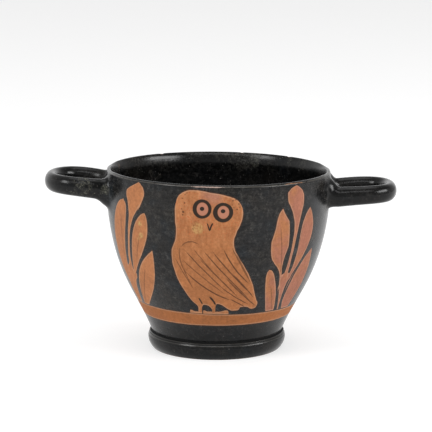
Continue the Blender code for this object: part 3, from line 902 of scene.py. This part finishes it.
def rubbedLip(spot, tone):
    # wear along the lip with a painted highlight line on its top, and the dust on the inside under it
    height, proud = spot.height, spot.proud
    # a lighter grey line along the lip's top: partly wear, partly painted highlight
    lipWearAndHighlight = (0.2 - abs(height - 78.55)).step(-0.16, 0.12) * proud.step(-1.3, -1.0)
    lipWearAndHighlight = lipWearAndHighlight * spot.noise["ragged"].step(0.3, 0.5)
    tone = (lipWearAndHighlight * shares["lipWearAndHighlight"]).blend(tone, colours["lipWearAndHighlight"])
    dust = (1 - spot.outside) * height.step(69.0, 78.0) * proud.step(0.0, -0.5)
    dust = dust * spot.noise["cloud"].step(0.42, 0.64) * spot.noise["mottle"].step(0.42, 0.6)
    tone = (dust * shares["dust"]).blend(tone, colours["dust"])
    for mark, colour in (("lipMark", "pinkWear"), ("lipRub", "bareClay")):
        rubbed = strokeDepth(spot.flat, painting[mark]) + (spot.noise["fleck"] - 0.5) * 0.5
        rubbed = rubbed.step(-0.1, 0.14) * spot.front * proud.step(-1.2, -0.9) * shares["rubbed"]
        tone = rubbed.blend(tone, colours[colour])
    return tone


def chippedShare(spot, shift):
    chipped = greatest([dotDepth(spot.place, tuple(leaned(chipPlace(chip), shift)), chip[3] * 0.8)
                        for chip in chips["lip"] + chips["foot"]])
    return (chipped + (spot.noise["fleck"] - 0.5) * 0.9).step(-0.1, 0.15)


def crusted(spot, specks, tone):
    # crusts and worn spots, and where they lie
    crusts = []
    for middle, radius, rag, colour, strength in patches:
        crust = dotDepth(spot.place, middle, radius) + (spot.noise["ragged"] - 0.6) * (3 * rag)
        crust = crust.step(0.0, 1.6) * (spot.noise["gritty"].step(0.5, 0.66) * 0.9 + 0.1)
        tone = (crust * strength).blend(tone, colours[colour])
        crusts.append(crust)
    crust = greatest(crusts)
    return (crust * specks * shares["crustSpecks"]).blend(tone, colours["rim"]), crust


def paintedClay(shift):
    # shift: how far along X the foot's axis stands from the origin
    material = bpy.data.materials.new("paintedClay")
    material.use_nodes = True
    tree = material.node_tree
    shader = tree.nodes["Principled BSDF"]
    spot = wallSpot(tree, shift)
    drawn = drawnPicture(spot)
    soft = painting["edgeSoftness"]
    clay = drawn.figure.step(-soft, soft) * spot.outside

    scratches, specks = glossMarks(spot)
    gloss, shadedGrooves = glossTone(spot, drawn, scratches, specks)
    tone = clay.blend(gloss, brushedLines(spot, drawn, bareTone(spot, drawn)))
    below = unpaintedFoot(spot)
    tone = rubbedLip(spot, below.blend(tone, colours["bareClay"]))
    chipped = chippedShare(spot, shift)
    tone = (chipped * shares["chips"]).blend(tone, colours["bareClay"])
    tone, crust = crusted(spot, specks, tone)

    matt = greatest([clay, below, chipped, crust * 0.85])
    roughness = finish["glossRoughness"] + matt * (finish["clayRoughness"] - finish["glossRoughness"])
    roughness = roughness + (1 - spot.dense) * finish["wallRoughness"] + shadedGrooves * 0.6
    roughness = roughness + (spot.noise["shade"] + spot.noise["mottle"] - 1.0) * 0.2
    roughness = roughness + scratches * 0.10 + specks * 0.3
    turned = spot.height.vector().noise(1.7, 3.0, 0.6)
    relief = spot.noise["pitted"] * 0.6 + spot.noise["wavy"] - crust * 0.8
    relief = relief + (turned - 0.5) * (1.6 - spot.aboveFoot)
    bump = relief.node("ShaderNodeBump", None, {
        "Strength": finish["reliefStrength"], "Distance": finish["reliefHeight"] * mm, "Height": relief})
    tree.links.new(tone.socket, shader.inputs["Base Color"])
    tree.links.new(roughness.socket, shader.inputs["Roughness"])
    tree.links.new(bump.socket, shader.inputs["Normal"])
    shader.inputs["IOR"].default_value = finish["refraction"]
    print("painted clay has", len(tree.nodes), "nodes")
    return material


def leaned(point, shift):
    slope = math.tan(math.radians(cup["lean"]))
    x, y, z = point
    return (x + slope * z + shift, y, z - slope * x * z / cup["height"])


def buildCup():
    clay = bpy.data.materials.new("unpaintedClay")
    body = turnedCup(clay)
    outwardNormals(body)
    print("turned cup:", len(body.polygons), "faces")
    tree = handleTree()
    loops = [handleMesh(name, tree, clay) for name in ("left", "right")]
    mesh, known = joinedCup(body, loops)
    smoothSeams(mesh, known)
    chipAway(mesh)
    shift = leanAndCentre(mesh)
    print("foot stands", round(shift, 2), "mm along X")
    mesh.shade_smooth()
    mesh.materials.clear()
    mesh.materials.append(paintedClay(shift))
    piece = bpy.data.objects.new("paintedSkyphos", mesh)
    bpy.context.scene.collection.objects.link(piece)
    bpy.data.materials.remove(clay)
    mesh.calc_loop_triangles()
    print("painted cup:", len(mesh.loop_triangles), "triangles")
    return piece, shift


painted, footShift = buildCup()
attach(painted, "root")
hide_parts("skyphos")


# Studio: pale floor, soft white light all round, camera where the photograph was taken from

studio = {
    "floorRadius": 6.0, "floorTone": 0.5, "floorGlow": 0.55, "floorRoughness": 0.9, "floorShine": 0.1,
    "skyStrength": 1.12,
    "darker": [(1, 0.1, -0.7, 0.45), (2, 0.2, 0.7, 0.45), (0, 0.1, 0.8, 0.5)],  # (axis, from, to, share)
    "cameraDistance": 0.9, "cameraElevation": 11.4, "cameraPitch": 10.29, "aimHeight": 0.040,
    "lens": 170.7, "sensor": 36.0, "sideShift": -0.0011,
    "lamps": [  # (name, place, aim, width, depth, watts)
        ("topLight", (0.10, 0.10, 1.5), (0.0, 0.0, 0.04), 0.9, 0.9, 4.0),
        ("frontLight", (0.0, -1.15, 1.25), (0.0, 0.0, 0.05), 1.5, 0.16, 5.0),
        ("rightLight", (1.25, -0.5, 0.64), (0.0, 0.0, 0.05), 1.0, 0.36, 13.5),
        ("leftLight", (-1.05, -0.75, 0.9), (0.0, 0.0, 0.05), 0.55, 0.55, 9.0),
    ],
}


def makeStudio(shift):
    shape = bmesh.new()
    bmesh.ops.create_circle(shape, cap_ends=True, segments=96, radius=studio["floorRadius"])
    mesh = bpy.data.meshes.new("paleFloor")
    shape.to_mesh(mesh)
    shape.free()
    floor = bpy.data.objects.new("paleFloor", mesh)
    bpy.context.scene.collection.objects.link(floor)
    paper = bpy.data.materials.new("palePaper")
    paper.use_nodes = True
    shader = paper.node_tree.nodes["Principled BSDF"]
    shader.inputs["Base Color"].default_value = (studio["floorTone"],) * 3 + (1,)
    shader.inputs["Roughness"].default_value = studio["floorRoughness"]
    shader.inputs["Specular IOR Level"].default_value = studio["floorShine"]
    shader.inputs["Emission Color"].default_value = (1.0, 1.0, 1.0, 1.0)
    shader.inputs["Emission Strength"].default_value = studio["floorGlow"]
    mesh.materials.append(paper)

    world = bpy.data.worlds.new("softStudio")
    world.use_nodes = True
    sky = world.node_tree.nodes["Background"]
    sky.inputs["Color"].default_value = (1.0, 1.0, 1.0, 1.0)
    tree = world.node_tree
    towards = Wire(tree, tree.nodes.new("ShaderNodeTexCoord").outputs["Generated"]).parts()
    lit = studio["skyStrength"]
    for axis, start, end, share in studio["darker"]:
        lit = (1 - towards[axis].step(start, end) * share) * lit
    tree.links.new(lit.socket, sky.inputs["Strength"])
    bpy.context.scene.world = world

    for name, place, aim, width, depth, watts in studio["lamps"]:
        light = bpy.data.lights.new(name, "AREA")
        light.shape, light.size, light.size_y, light.energy = "RECTANGLE", width, depth, watts
        lamp = bpy.data.objects.new(name, light)
        lamp.location = place
        lamp.rotation_euler = (Vector(aim) - Vector(place)).to_track_quat("-Z", "Y").to_euler()
        bpy.context.scene.collection.objects.link(lamp)

    eye = bpy.data.cameras.new("studioCamera")
    eye.lens, eye.sensor_width, eye.shift_x = studio["lens"], studio["sensor"], studio["sideShift"]
    eye.clip_start, eye.clip_end = 0.05, 20.0
    camera = bpy.data.objects.new("studioCamera", eye)
    rise = math.radians(studio["cameraElevation"])
    camera.location = (shift * mm, -studio["cameraDistance"] * math.cos(rise),
                       studio["aimHeight"] + studio["cameraDistance"] * math.sin(rise))
    camera.rotation_euler = (math.radians(90 - studio["cameraPitch"]), 0.0, 0.0)
    bpy.context.scene.collection.objects.link(camera)
    bpy.context.scene.camera = camera
    bpy.context.scene.view_settings.view_transform = "Standard"


makeStudio(footShift)
print("studio ready")
